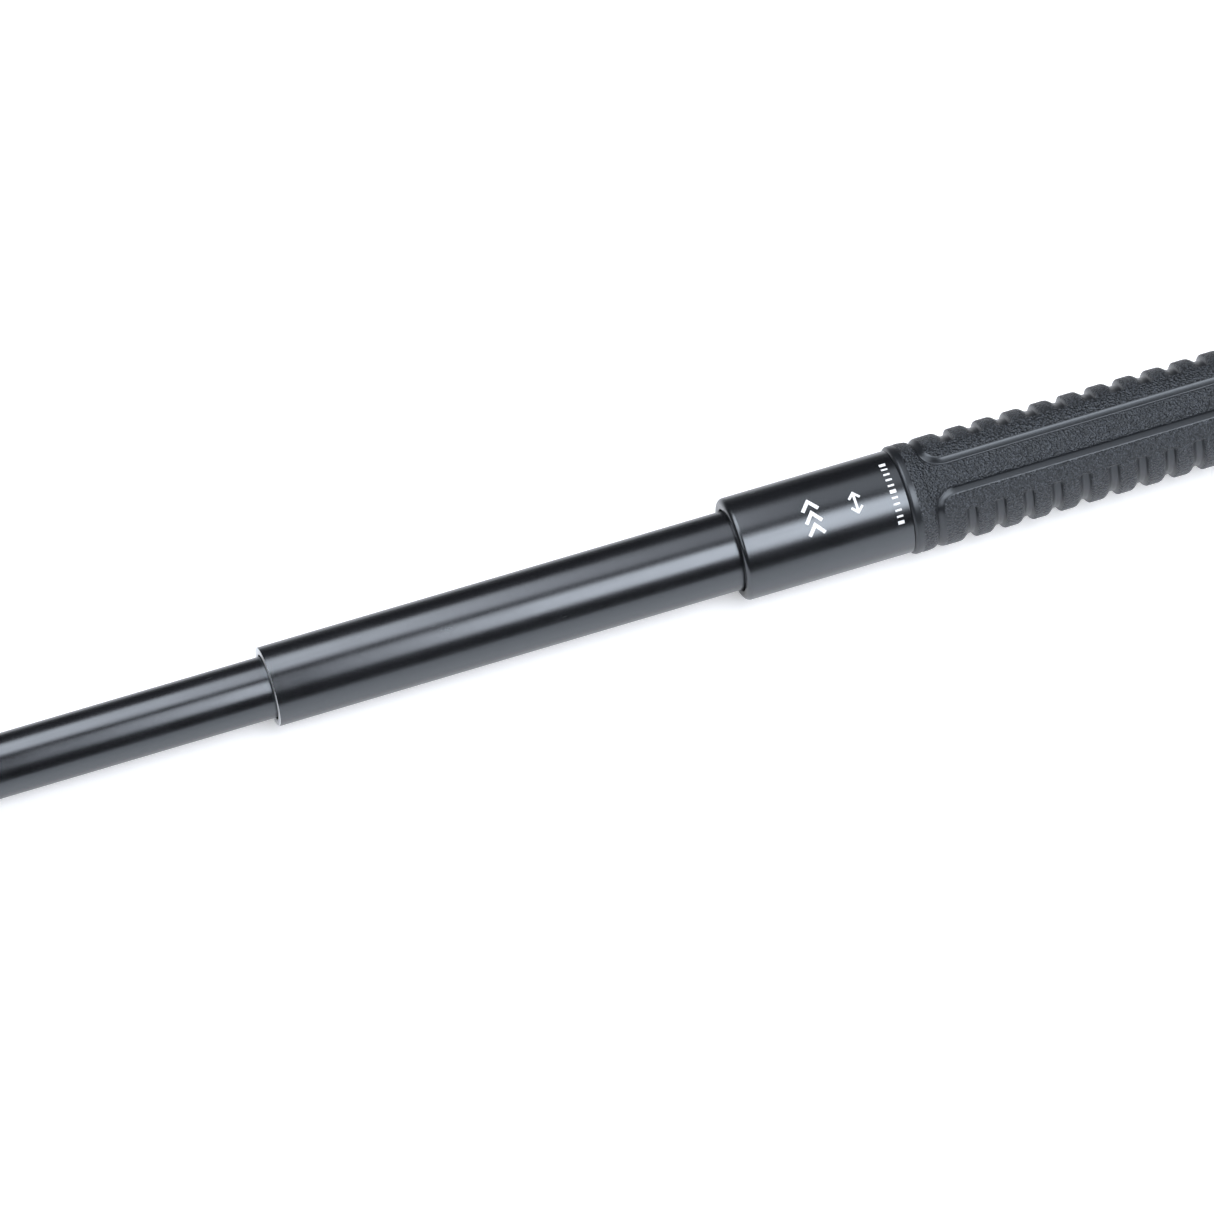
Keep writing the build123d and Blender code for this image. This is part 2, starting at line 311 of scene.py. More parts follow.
def grip_rubber():
    """Moulded rubber. The mesh's own pebble value says where the fine pebbling is, with a
    painted highlight on each pebble's crown and painted shade in its valleys.
    """
    n = Nodes("grip_rubber")
    pebbled = n.node("Attribute", attribute_name="pebble").outputs["Fac"]
    cells = n.cells(scale=1750)
    fine = n.noise(scale=3400, detail=2)
    crowns = n.maths("MULTIPLY", cells, -1.0)
    height = n.maths("ADD", crowns, n.maths("MULTIPLY", fine, PEBBLE_FINENESS))
    height = n.maths("MULTIPLY", height, pebbled)
    dust = n.noise(scale=140, detail=4)
    smooth_tone = n.mix(dust, *SMOOTH_RUBBER_TONES)
    # Painted shade in the pebbles' valleys and a painted highlight on their crowns
    valley_shade = n.mix(dust, *PEBBLE_VALLEY_SHADE_TONES)
    crown_highlight = n.mix(dust, *PEBBLE_CROWN_HIGHLIGHT_TONES)
    at_crown = n.map_range(cells, PEBBLE_CROWN, PEBBLE_VALLEY, 1, 0)
    pebble_highlight_and_shade = n.mix(at_crown, valley_shade, crown_highlight)
    n.set(Base_Color=n.mix(pebbled, smooth_tone, pebble_highlight_and_shade))
    n.set(Roughness=n.map_range(pebbled, 0, 1, low=0.34, high=0.42), IOR=1.62)
    n.set(Specular_Tint=COOL_TINT)
    n.bump(height, distance=0.00045)
    return n.material


def bare_steel(name, tone, roughness):
    """Bare or plated steel with a fine turned or rolled grain."""
    n = Nodes(name)
    grain = n.noise(scale=1, detail=3, vector=n.stretched((2600, 300, 300)))
    clouds = n.noise(scale=300, detail=3)
    darkest = tuple(STEEL_DARKEST * channel for channel in tone)
    n.set(Base_Color=n.mix(clouds, darkest, tone), Metallic=1.0)
    n.set(Roughness=n.spread(grain, roughness * STEEL_SMOOTHEST, roughness * STEEL_ROUGHEST))
    n.bump(grain, distance=0.000008)
    return n.material


def anodised():
    """Black anodised aluminium with turning marks."""
    n = Nodes("anodised")
    turning = n.noise(scale=1, detail=3, vector=n.stretched((5200, 220, 220)))
    clouds = n.noise(scale=200, detail=3)
    n.set(Base_Color=n.mix(clouds, *ANODISED_TONES))
    n.set(Roughness=n.spread(turning, low=0.28, high=0.38), IOR=1.55)
    n.bump(turning, distance=0.00001)
    return n.material


def soft_rubber():
    """Smooth seal rubber, slightly greasy in patches."""
    n = Nodes("soft_rubber")
    patches = n.noise(scale=420, detail=3)
    n.set(Base_Color=n.mix(patches, *SEAL_TONES))
    n.set(Roughness=n.spread(patches, low=0.38, high=0.62), IOR=1.5)
    n.bump(n.noise(scale=3000, detail=2), distance=0.00001)
    return n.material


def disc_plastic():
    """The end disc's moulded plastic, with a fine spark-eroded texture."""
    n = Nodes("disc_plastic")
    texture = n.cells(scale=2800, smoothness=0.4)
    clouds = n.noise(scale=260, detail=3)
    n.set(Base_Color=n.mix(clouds, *DISC_TONES))
    n.set(Roughness=n.map_range(texture, 0, 1, low=0.5, high=0.66), IOR=1.49)
    n.bump(texture, distance=0.00003)
    return n.material


def white_ink():
    """Screen-printed white ink with slightly uneven cover."""
    n = Nodes("white_ink")
    cover = n.noise(scale=2200, detail=4)
    n.set(Base_Color=n.mix(cover, *INK_TONES))
    n.set(Roughness=n.spread(cover, low=0.42, high=0.6), IOR=1.5)
    n.bump(cover, distance=0.000006)
    return n.material


COATING = black_coating()
RUBBER = grip_rubber()
SPRING_STEEL = bare_steel("spring_steel", SPRING_STEEL_TONE, roughness=0.28)
CUT_STEEL = bare_steel("cut_steel", CUT_STEEL_TONE, roughness=0.42)
ZINC = bare_steel("zinc_steel", ZINC_TONE, roughness=0.32)
ANODISED = anodised()
SEAL = soft_rubber()
DISC = disc_plastic()
INK = white_ink()


def add(piece, body, slot, material, *nodes):
    """Gives a finished piece its material and body, and hides the CAD nodes it stands for. The
    slot is not used.
    """
    piece.data.materials.append(material)
    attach(piece, body)
    if nodes:
        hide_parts(*nodes)
    return piece


# ---------------------------------------------------------------------------
# Tubes and knob
# ---------------------------------------------------------------------------

# Lock cones: where each starts and stops behind its tube's mouth (mm)
HANDLE_CONE_FROM, HANDLE_CONE_TO = 3, 27
MIDDLE_CONE_FROM, MIDDLE_CONE_TO = 2, 23
HANDLE_CONE = (MOUTH + HANDLE_CONE_FROM, MOUTH + HANDLE_CONE_TO,
               HANDLE_MOUTH_BORE_R, HANDLE_BORE_R)
MIDDLE_CONE = (MIDDLE_MOUTH + MIDDLE_CONE_FROM, MIDDLE_MOUTH + MIDDLE_CONE_TO,
               MIDDLE_MOUTH_BORE_R, MIDDLE_BORE_R)
FLARE_START_SHARE = 0.45
FLARE_BLEND = 6.0
TAIL_BORE_FLARE = 14.0
END_CHAMFER = 0.3

# Roundings of the tubes' and the knob's edges (mm)
FLARE_ROUND = 9
BARREL_MOUTH_ROUND, BARREL_BORE_ROUND = 1.4, 0.4
MIDDLE_MOUTH_ROUND, MIDDLE_BORE_ROUND = 0.3, 0.25
EDGE_ROUND, TAIL_BORE_ROUND = 0.15, 0.2
NOSE_ROUND, KNOB_BACK_ROUND, SPIGOT_ROUND = 4.0, 0.8, 0.5

# The middle tube's cut end: how far back it reaches, and its coated rim
CUT_REACH, CUT_RIM = 0.3, 0.05


def flared_tail(tail, radius, cone):
    """The outline of a tube's tail, which follows the cone that it locks in."""
    start, stop, start_r, stop_r = cone
    match = start + (stop - start) * FLARE_START_SHARE
    match_r = start_r + (stop_r - start_r) * FLARE_START_SHARE - LOCK_CLEARANCE
    flare_r = stop_r - LOCK_CLEARANCE
    return [
        (match - FLARE_BLEND, radius, FLARE_ROUND),
        (match, match_r, FLARE_ROUND),
        (stop - LOCK_CLEARANCE, flare_r),
        (tail - END_CHAMFER, flare_r),
        (tail, flare_r - END_CHAMFER),
    ]


def handle_tube():
    corners = [
        (MOUTH, BARREL_R, BARREL_MOUTH_ROUND),
        (GRIP_FRONT, BARREL_R, EDGE_ROUND),
        (GRIP_FRONT, GRIP_SEAT_R),
        (HANDLE_REAR, GRIP_SEAT_R, EDGE_ROUND),
        (HANDLE_REAR, THREAD_BORE_R, END_CHAMFER),
        (BOSS_FACE, THREAD_BORE_R),
        (BOSS_FACE, HANDLE_BORE_R),
        (HANDLE_CONE[1], HANDLE_BORE_R),
        (HANDLE_CONE[0], HANDLE_MOUTH_BORE_R),
        (MOUTH, HANDLE_MOUTH_BORE_R, BARREL_BORE_ROUND),
    ]
    piece = lathe("handle_shell", corners)
    return add(piece, "handle", "black_steel", COATING, "handle_tube")


def middle_tube():
    """The second tube. Its mouth is cut back to bright steel."""
    corners = [
        (MIDDLE_MOUTH, MIDDLE_R, MIDDLE_MOUTH_ROUND),
        *flared_tail(MIDDLE_TAIL, MIDDLE_R, HANDLE_CONE),
        (MIDDLE_TAIL, MIDDLE_TAIL_BORE_R, TAIL_BORE_ROUND),
        (MIDDLE_TAIL - TAIL_BORE_FLARE, MIDDLE_BORE_R),
        (MIDDLE_CONE[1], MIDDLE_BORE_R),
        (MIDDLE_CONE[0], MIDDLE_MOUTH_BORE_R),
        (MIDDLE_MOUTH, MIDDLE_MOUTH_BORE_R, MIDDLE_BORE_ROUND),
    ]
    piece = lathe("middle_shaft", corners)
    add(piece, "middle", "black_steel", COATING, "middle_tube")
    piece.data.materials.append(CUT_STEEL)
    for face in piece.data.polygons:
        at_mouth = face.center.x < (MIDDLE_MOUTH + CUT_REACH) * MM
        radius = math.hypot(face.center.y, face.center.z - AXIS_Z * MM) / MM
        if at_mouth and radius < MIDDLE_R - CUT_RIM:
            face.material_index = 1
    return piece


def tip_tube():
    corners = [
        (TIP_FRONT, TIP_R, EDGE_ROUND),
        *flared_tail(TIP_TAIL, TIP_R, MIDDLE_CONE),
        (TIP_TAIL, TIP_TAIL_BORE_R, TAIL_BORE_ROUND),
        (TIP_TAIL - TAIL_BORE_FLARE, TIP_BORE_R),
        (TIP_FRONT, TIP_BORE_R),
    ]
    piece = lathe("tip_shaft", corners)
    return add(piece, "tip", "black_steel", COATING, "tip_tube")


def tip_knob():
    corners = [
        (KNOB_FRONT, 0),
        (KNOB_FRONT, KNOB_R, NOSE_ROUND),
        (TIP_FRONT, KNOB_R, KNOB_BACK_ROUND),
        (TIP_FRONT, TIP_BORE_R),
        (SPIGOT_END, TIP_BORE_R, SPIGOT_ROUND),
        (SPIGOT_END, 0),
    ]
    piece = lathe("knob", corners, solid=True)
    return add(piece, "tip", "black_steel", COATING, "tip_knob")


# ---------------------------------------------------------------------------
# Grip: a height map wrapped round the handle
# ---------------------------------------------------------------------------

GRIP_R = 13.75
GRIP_SHARP_ANGLE = math.radians(60)
QUARTER = math.pi / 2

# Its ends: rounded lips, a fine groove behind the front lip, and the rear flare
LIP_DROP, LIP_LENGTH = 0.6, 0.9
LIP_GROOVE_AT, LIP_GROOVE_WIDTH, LIP_GROOVE_DEPTH = 2.15, 0.2, 0.13
REAR_FLARE_LENGTH, REAR_FLARE = 10.0, 1.85

# The two smooth strips, which lie lower than the collars and the panels
STRIP_HALF_ANGLE = math.radians(14.5)
STRIP_DROP = 0.70
STRIP_DROP_FROM, STRIP_DROP_TO = 3.4, 9.0
REAR_COLLAR_EXTRA = 7

# The two side panels, and the groove at the foot of their border: GROOVE at the
# collars, FOOT along the strips
PANEL_FRONT_MARGIN, PANEL_REAR_MARGIN = 6.4, 13.3
PANEL_HALF_AROUND = (QUARTER - STRIP_HALF_ANGLE) * GRIP_R
PANEL_CORNER = 5.5
PANEL_EDGE = 1.35
PANEL_EDGE_ROUND = 0.30
PANEL_CROWN = 0.12
PANEL_CROWN_FROM, PANEL_CROWN_TO = 2.5, 9.0
GROOVE_DEPTH, GROOVE_WIDTH = 0.80, 0.60
FOOT_DEPTH, FOOT_WIDTH = 0.38, 0.30

# The slots across the panels, each measured from its own place
FIRST_SLOT, SLOT_PITCH, SLOT_COUNT = 15.1, 7.43, 13
SLOT_RAMP_FROM, SLOT_RAMP_TO = -2.7, -0.3
SLOT_WALL_FROM, SLOT_WALL_TO = 0.8, 1.7
SLOT_DEPTH = 1.32
SLOT_END = math.radians(49) * GRIP_R
SLOT_END_BEFORE, SLOT_END_AFTER = 0.8, 0.5

# Where the pebbling fades: after the front groove, before the rear end, into a
# slot, and on both sides of a panel's border
PEBBLE_FRONT_FADE = 0.4
PEBBLE_REAR_FROM, PEBBLE_REAR_TO = 0.8, 1.6
PEBBLE_SLOT_FROM, PEBBLE_SLOT_TO = 0.1, 0.5
BORDER_INNER_FROM, BORDER_INNER_TO = -2.0, -1.5
BORDER_OUTER_FROM, BORDER_OUTER_TO = 0.1, 0.5

# Its mesh: rows along it, columns round it, and how they crowd at the details
GRIP_ROWS, GRIP_COLUMNS = 340, 284
CROWDING, CROWDING_SAMPLES = 2, 4000
ROW_REACH, COLUMN_REACH = 1.0, 0.08
LIP_ROWS_AT = 1.0


def outline_distance(along, around, half_along, half_around, corner):
    """Signed distance to a rounded rectangle, negative inside."""
    a = np.abs(along) - (half_along - corner)
    b = np.abs(around) - (half_around - corner)
    outside = np.hypot(np.maximum(a, 0), np.maximum(b, 0))
    return outside + np.minimum(np.maximum(a, b), 0) - corner


def panel_border(from_front, off_side):
    """Signed distance to a side panel's border, negative on the panel."""
    half_along = (GRIP_LENGTH - PANEL_FRONT_MARGIN - PANEL_REAR_MARGIN) / 2
    middle = PANEL_FRONT_MARGIN + half_along
    return outline_distance(
        from_front - middle, off_side, half_along, PANEL_HALF_AROUND, PANEL_CORNER)


def border_rise(edge):
    """How far a panel has risen from its foot, 0 to 1: a ramp that is rounded at its top."""
    past_ramp = -edge / PANEL_EDGE - 1
    softness = PANEL_EDGE_ROUND / PANEL_EDGE
    rise = 1 + (past_ramp - np.hypot(past_ramp, softness)) / 2
    return np.clip(rise / (1 - softness ** 2 / 4), 0, 1)


def strips_and_panels(from_front, from_rear, off_side, edge):
    """The radius of the collars, the strips and the panels, without slots or ends."""
    at_strip = (smoothstep(STRIP_DROP_FROM, STRIP_DROP_TO, from_front)
                * smoothstep(STRIP_DROP_FROM, STRIP_DROP_TO, from_rear - REAR_COLLAR_EXTRA))
    outside = GRIP_R - STRIP_DROP * at_strip
    groove = (1 - at_strip) * GROOVE_DEPTH + at_strip * FOOT_DEPTH
    width = (1 - at_strip) * GROOVE_WIDTH + at_strip * FOOT_WIDTH
    outside_surface = outside - groove * np.exp(-(np.maximum(edge, 0) / width) ** 2)
    off_border = PANEL_HALF_AROUND - off_side
    near_strip = 1 - smoothstep(PANEL_CROWN_FROM, PANEL_CROWN_TO, off_border)
    top = GRIP_R + PANEL_CROWN * near_strip
    foot = outside - groove
    return np.where(edge > 0, outside_surface, foot + (top - foot) * border_rise(edge))


def slot_share(from_front, off_side):
    """How deep in a slot a place is, 0 to 1: a long ramp, a floor and a steep wall."""
    nearest = np.clip(np.round((from_front - FIRST_SLOT) / SLOT_PITCH), 0, SLOT_COUNT - 1)
    off_slot = from_front - FIRST_SLOT - nearest * SLOT_PITCH
    return (smoothstep(SLOT_RAMP_FROM, SLOT_RAMP_TO, off_slot)
            * (1 - smoothstep(SLOT_WALL_FROM, SLOT_WALL_TO, off_slot))
            * (1 - smoothstep(SLOT_END - SLOT_END_BEFORE, SLOT_END + SLOT_END_AFTER, off_side)))


def with_ends(radius, from_front, from_rear):
    """The radius with the lips, the groove behind the front lip and the rear flare."""
    lip = np.clip(1 - from_front / LIP_LENGTH, 0, 1) ** 2
    rear_lip = np.clip(1 - from_rear / LIP_LENGTH, 0, 1) ** 2
    lip_groove = np.exp(-((from_front - LIP_GROOVE_AT) / LIP_GROOVE_WIDTH) ** 2)
    flare = np.clip(1 - from_rear / REAR_FLARE_LENGTH, 0, 1) ** 2
    radius = radius - LIP_DROP * (lip + rear_lip) - LIP_GROOVE_DEPTH * lip_groove
    return radius + REAR_FLARE * flare


def pebbling(from_front, from_rear, edge, slot):
    """1 where the rubber is pebbled, 0 at its ends, in its slots and on panel borders."""
    on_border = (smoothstep(BORDER_INNER_FROM, BORDER_INNER_TO, edge)
                 * (1 - smoothstep(BORDER_OUTER_FROM, BORDER_OUTER_TO, edge)))
    return (smoothstep(LIP_GROOVE_AT, LIP_GROOVE_AT + PEBBLE_FRONT_FADE, from_front)
            * smoothstep(PEBBLE_REAR_FROM, PEBBLE_REAR_TO, from_rear)
            * (1 - smoothstep(PEBBLE_SLOT_FROM, PEBBLE_SLOT_TO, slot))
            * (1 - on_border))


def grip_heights(from_front, angle):
    """The grip's radius, and its pebbling from 0 to 1, at a distance and an angle."""
    from_rear = GRIP_LENGTH - from_front
    folded = np.abs((angle + QUARTER) % math.pi - QUARTER)
    off_side = (QUARTER - folded) * GRIP_R
    edge = panel_border(from_front, off_side)
    slot = slot_share(from_front, off_side)
    radius = strips_and_panels(from_front, from_rear, off_side, edge) - SLOT_DEPTH * slot
    radius = with_ends(radius, from_front, from_rear)
    return radius, pebbling(from_front, from_rear, edge, slot)


def crowded(length, count, busy_places, reach):
    """Places from 0 to length, about three times as close together near busy places."""
    fine = np.linspace(0, length, CROWDING_SAMPLES)
    near = np.exp(-((fine[:, None] - busy_places[None, :]) / reach) ** 2).sum(1)
    filled = np.cumsum(1 + CROWDING * near)
    filled = (filled - filled[0]) / (filled[-1] - filled[0])
    return np.interp(np.linspace(0, 1, count), filled, fine)


def grip_grid():
    """Distances from the grip's front and angles round it, crowded at its details."""
    half_edge = PANEL_EDGE / 2
    slots = FIRST_SLOT + SLOT_PITCH * np.arange(SLOT_COUNT)
    busy = np.array([LIP_ROWS_AT, PANEL_FRONT_MARGIN + half_edge, *(slots + SLOT_WALL_FROM),
                     GRIP_LENGTH - PANEL_REAR_MARGIN - half_edge, GRIP_LENGTH - LIP_ROWS_AT])
    rows = crowded(GRIP_LENGTH, GRIP_ROWS, busy, ROW_REACH)
    side = STRIP_HALF_ANGLE + half_edge / GRIP_R
    sides = np.array([side, math.pi - side, math.pi + side, 2 * math.pi - side])
    columns = crowded(2 * math.pi, GRIP_COLUMNS + 1, sides, COLUMN_REACH)[:-1]
    return np.meshgrid(rows, columns, indexing="ij")


def grip_faces():
    """Quads between neighbouring rings. The last ring joins the first."""
    faces = []
    ring_count = GRIP_ROWS + 2
    for row in range(ring_count):
        this_row = row * GRIP_COLUMNS
        next_row = (row + 1) % ring_count * GRIP_COLUMNS
        for i in range(GRIP_COLUMNS):
            j = (i + 1) % GRIP_COLUMNS
            faces.append((this_row + i, this_row + j, next_row + j, next_row + i))
    return faces


def grip_sleeve():
    """The grip's outer surface, closed by two rings on the tube under it."""
    from_front, angle = grip_grid()
    radius, pebble = grip_heights(from_front, angle)
    around = angle + GRIP_ROLL
    outer = np.stack(
        [from_front + GRIP_FRONT, -radius * np.sin(around), radius * np.cos(around)], -1)
    seat = np.stack([
        outer[[-1, 0], :, 0],
        -GRIP_SEAT_R * np.sin(around[:2]),
        GRIP_SEAT_R * np.cos(around[:2])], -1)
    vertices = np.concatenate([outer, seat]).reshape(-1, 3)
    piece = mesh_object("grip_cover", vertices.tolist(), grip_faces(), GRIP_SHARP_ANGLE)
    values = np.concatenate([pebble.ravel(), np.zeros(2 * GRIP_COLUMNS)])
    attribute = piece.data.attributes.new("pebble", "FLOAT", "POINT")
    attribute.data.foreach_set("value", values.astype(np.float32))
    return add(piece, "handle", "grip_rubber", RUBBER, "grip_sleeve")


# ---------------------------------------------------------------------------
# Tail cap and what it carries
# ---------------------------------------------------------------------------

FLAT_COUNT = 8
FLAT_EDGE_SOFTNESS = 0.3
CAP_SEAT_GAP = 0.05
CAP_SEAT = HANDLE_REAR + CAP_SEAT_GAP
RECESS_WALL = 0.5
HOLE_BEYOND_SCREW = 0.5
RING_CENTRE = (RING_FRONT + RING_BACK) / 2
RING_GROOVE_HALF = 1
RING_GROOVE_START = RING_CENTRE - RING_GROOVE_HALF
RING_GROOVE_STOP = RING_CENTRE + RING_GROOVE_HALF
RING_STEPS = 28

# The thread on the boss: of a tooth's pitch, the shares of its crest and its flanks
THREAD_PITCH, THREAD_DEPTH, THREAD_ROWS_PER_PITCH = 1.0, 0.55, 12
THREAD_START, THREAD_STOP = BOSS_FACE + 0.8, RING_GROOVE_START - 0.3
THREAD_FADE = 1.2
THREAD_CREST, THREAD_FLANKS = 0.12, 0.76
THREAD_TOLERANCE = 0.01

# Roundings and the boss's chamfer (mm)
BOSS_CHAMFER = 0.6
GROOVE_LIP_ROUND, GROOVE_FLOOR_ROUND = 0.1, 0.2
FLANGE_FRONT_ROUND, FLANGE_END_ROUND, RECESS_LIP_ROUND = 0.6, 1.4, 0.25
DISC_EDGE_ROUND, DISC_GROOVE_ROUND = 0.3, 0.1
BUFFER_ROUND = 0.3

# The turned ring on the end disc: (mm in from the disc's edge, mm deep)
DISC_GROOVE = ((1.6, 0), (1.8, 0.25), (2.3, 0.25), (2.5, 0))


def cap_surface(x, r, angle):
    """Clips the flange to its flats, and cuts the thread into the boss."""
    if x >= CAP_SEAT - TINY and r > DISC_RECESS_R + RECESS_WALL:
        spacing = 2 * math.pi / FLAT_COUNT
        off_flat = (angle + spacing / 2) % spacing - spacing / 2
        inset = CAP_R - r
        flat = (CAP_FLAT_R - inset) / math.cos(off_flat)
        overlap = max(FLAT_EDGE_SOFTNESS - abs(flat - r), 0) / FLAT_EDGE_SOFTNESS
        return min(flat, r) - overlap ** 2 * FLAT_EDGE_SOFTNESS / 4
    if THREAD_START < x < THREAD_STOP and r > BOSS_R - THREAD_TOLERANCE:
        phase = (x / THREAD_PITCH - angle / (2 * math.pi)) % 1
        tooth = abs(2 * phase - 1)
        cut = min(max((tooth - THREAD_CREST) / THREAD_FLANKS, 0), 1)
        fade = min(x - THREAD_START, THREAD_STOP - x) / THREAD_FADE
        return r - THREAD_DEPTH * cut * min(max(fade, 0), 1)
    return r


def tail_cap():
    """The screw-in cap: flange with eight flats, threaded boss, ring groove, recess, hole."""
    threaded = THREAD_STOP - THREAD_START
    row_count = int(threaded / THREAD_PITCH * THREAD_ROWS_PER_PITCH)
    thread_rows = [(THREAD_START + threaded * i / row_count, BOSS_R)
                   for i in range(row_count + 1)]
    hole_end = SHANK_END + HOLE_BEYOND_SCREW
    corners = [
        (hole_end, 0),
        (hole_end, SCREW_R),
        (BOSS_FACE, SCREW_R),
        (BOSS_FACE, BOSS_R - BOSS_CHAMFER),
        (BOSS_FACE + BOSS_CHAMFER, BOSS_R),
        *thread_rows,
        (RING_GROOVE_START, BOSS_R, GROOVE_LIP_ROUND),
        (RING_GROOVE_START, RING_GROOVE_R, GROOVE_FLOOR_ROUND),
        (RING_GROOVE_STOP, RING_GROOVE_R, GROOVE_FLOOR_ROUND),
        (RING_GROOVE_STOP, BOSS_R, GROOVE_LIP_ROUND),
        (CAP_SEAT, BOSS_R),
        (CAP_SEAT, CAP_R, FLANGE_FRONT_ROUND),
        (TAIL_END, CAP_R, FLANGE_END_ROUND),
        (TAIL_END, DISC_RECESS_R, RECESS_LIP_ROUND),
        (DISC_BACK, DISC_RECESS_R),
        (DISC_BACK, 0),
    ]
    piece = lathe("cap_body", corners, solid=True, shape=cap_surface)
    return add(piece, "cap", "black_cap", ANODISED, "tail_cap")


def end_disc():
    """The plain insert, with one shallow turned ring as its only decoration."""
    corners = [
        (DISC_BACK, 0),
        (DISC_BACK, DISC_R),
        (DISC_FRONT, DISC_R, DISC_EDGE_ROUND),
        *[(DISC_FRONT - deep, DISC_R - inset, DISC_GROOVE_ROUND)
          for inset, deep in DISC_GROOVE],
        (DISC_FRONT, 0),
    ]
    piece = lathe("end_insert", corners, solid=True)
    return add(piece, "cap", "disc_plastic", DISC, "cap_end_disc")


def o_ring():
    corners = []
    for i in range(RING_STEPS):
        turn = 2 * math.pi * i / RING_STEPS
        corners.append((RING_CENTRE - RING_SECTION_R * math.cos(turn),
                        RING_CENTRE_R + RING_SECTION_R * math.sin(turn)))
    piece = lathe("seal_ring", corners)
    return add(piece, "cap_ring", "seal_rubber", SEAL, "cap_o_ring")


def buffer_ring():
    corners = [
        (BUFFER_FRONT, BUFFER_BORE_R, BUFFER_ROUND),
        (BUFFER_FRONT, BUFFER_R, BUFFER_ROUND),
        (BUFFER_BACK, BUFFER_R),
        (BUFFER_BACK, BUFFER_BORE_R),
    ]
    piece = lathe("buffer_pad", corners)
    return add(piece, "cap", "seal_rubber", SEAL, "buffer_ring")


def carry_over(node, material):
    """Keeps a CAD node that already has the right shape, with a proper material."""
    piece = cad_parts[node]
    piece.data.materials.clear()
    piece.data.materials.append(material)


# ---------------------------------------------------------------------------
# Printed marks on the barrel
# ---------------------------------------------------------------------------

INK_HEIGHT, INK_SUNK = 0.03, 0.03
RIBBON_STEP = 0.35

# Line widths, places round from the strip's centre, and places in front of the grip (mm)
CHEVRON_COUNT, CHEVRON_LINE = 3, 0.9
CHEVRON_FIRST, CHEVRON_PITCH, CHEVRON_REACH = -4.9, 3.1, 2.4
CHEVRON_FRONT, CHEVRON_POINT, CHEVRON_BACK = 26.0, 24.0, 22.0
ARROW_LINE, ARROW_SHAFT, ARROW_POINT, ARROW_BARB = 0.6, 2.0, 2.5, 1.1
ARROW_FRONT, ARROW_AT, ARROW_BACK = 14.1, 12.7, 11.3
BAR_COUNT, BAR_FIRST, BAR_PITCH = 11, -8.0, 1.6
BAR_LINE, BOLD_BAR_LINE, BOLD_BAR_EVERY = 0.5, 0.9, 5
BAR_FRONT, BAR_BACK = 3.8, 2.2


def ribbon(name, lines):
    """Printed strokes wrapped on the barrel. Each line is (width, points), and a
    point is (mm round from the strip's centre, mm in front of the grip)."""
    vertices, faces = [], []
    for width, points in lines:
        path = [Vector(point) for point in points]
        sides = stroke_sides(path, width)
        first = len(vertices)
        for left, right in sides:
            for radius in (BARREL_R + INK_HEIGHT, BARREL_R - INK_SUNK):
                for spot in (left, right):
                    around = spot.x / BARREL_R - GRIP_ROLL
                    vertices.append((GRIP_FRONT - spot.y, radius * math.sin(around),
                                     radius * math.cos(around)))
        count = len(sides)
        for i in range(count - 1):
            a, b = first + 4 * i, first + 4 * (i + 1)
            faces += [(a, a + 1, b + 1, b), (a + 2, b + 2, b + 3, a + 3),
                      (a, b, b + 2, a + 2), (a + 1, a + 3, b + 3, b + 1)]
        end = first + 4 * (count - 1)
        faces += [(first, first + 2, first + 3, first + 1), (end, end + 1, end + 3, end + 2)]
    return mesh_object(name, vertices, faces)


def stroke_sides(path, width):
    """Left and right points along a mitred stroke, close enough to follow the curve."""
    normals = []
    for a, b in zip(path, path[1:]):
        direction = (b - a).normalized()
        normals.append(Vector((-direction.y, direction.x)))
    offsets = [normals[0] * width / 2]
    for before, after in zip(normals, normals[1:]):
        middle = (before + after).normalized()
        offsets.append(middle * width / 2 / middle.dot(before))
    offsets.append(normals[-1] * width / 2)
    sides = []
    for i, (a, b) in enumerate(zip(path, path[1:])):
        steps = max(1, round((b - a).length / RIBBON_STEP))
        for step in range(steps + (i == len(path) - 2)):
            t = step / steps
            spot, offset = a.lerp(b, t), offsets[i].lerp(offsets[i + 1], t)
            sides.append((spot + offset, spot - offset))
    return sides


def printed_marks():
    """Generic marks: three chevrons, a double arrow and a row of short bars."""
    chevrons, bars = [], []
    for n in range(CHEVRON_COUNT):
        start = CHEVRON_FIRST + CHEVRON_PITCH * n
        chevrons.append((CHEVRON_LINE, [(start, CHEVRON_FRONT),
                                        (start + CHEVRON_REACH, CHEVRON_POINT),
                                        (start, CHEVRON_BACK)]))
    arrow = [(ARROW_LINE, [(-ARROW_SHAFT, ARROW_AT), (ARROW_SHAFT, ARROW_AT)])]
    for side in (-1, 1):
        arrow.append((ARROW_LINE, [(side * ARROW_BARB, ARROW_FRONT),
                                   (side * ARROW_POINT, ARROW_AT),
                                   (side * ARROW_BARB, ARROW_BACK)]))
    for n in range(BAR_COUNT):
        at = BAR_FIRST + BAR_PITCH * n
        width = BAR_LINE if n % BOLD_BAR_EVERY else BOLD_BAR_LINE
        bars.append((width, [(at, BAR_FRONT), (at, BAR_BACK)]))
    marks = (("printed_chevrons", chevrons), ("printed_double_arrow", arrow),
             ("printed_bars", bars))
    for name, lines in marks:
        add(ribbon(name, lines), "handle", None, INK)


# ---------------------------------------------------------------------------
# Camera, light and floor
# ---------------------------------------------------------------------------

CAMERA_AZIMUTH, CAMERA_ELEVATION = math.radians(-19), math.radians(59)
LENS, SENSOR = 280.0, 36.0
SHOWN_WIDTH = 297.0
AIM_BEFORE_MOUTH, AIM_BELOW_AXIS = 32.2, 4.9
NEAR_CLIP, FAR_CLIP = 0.05, 60

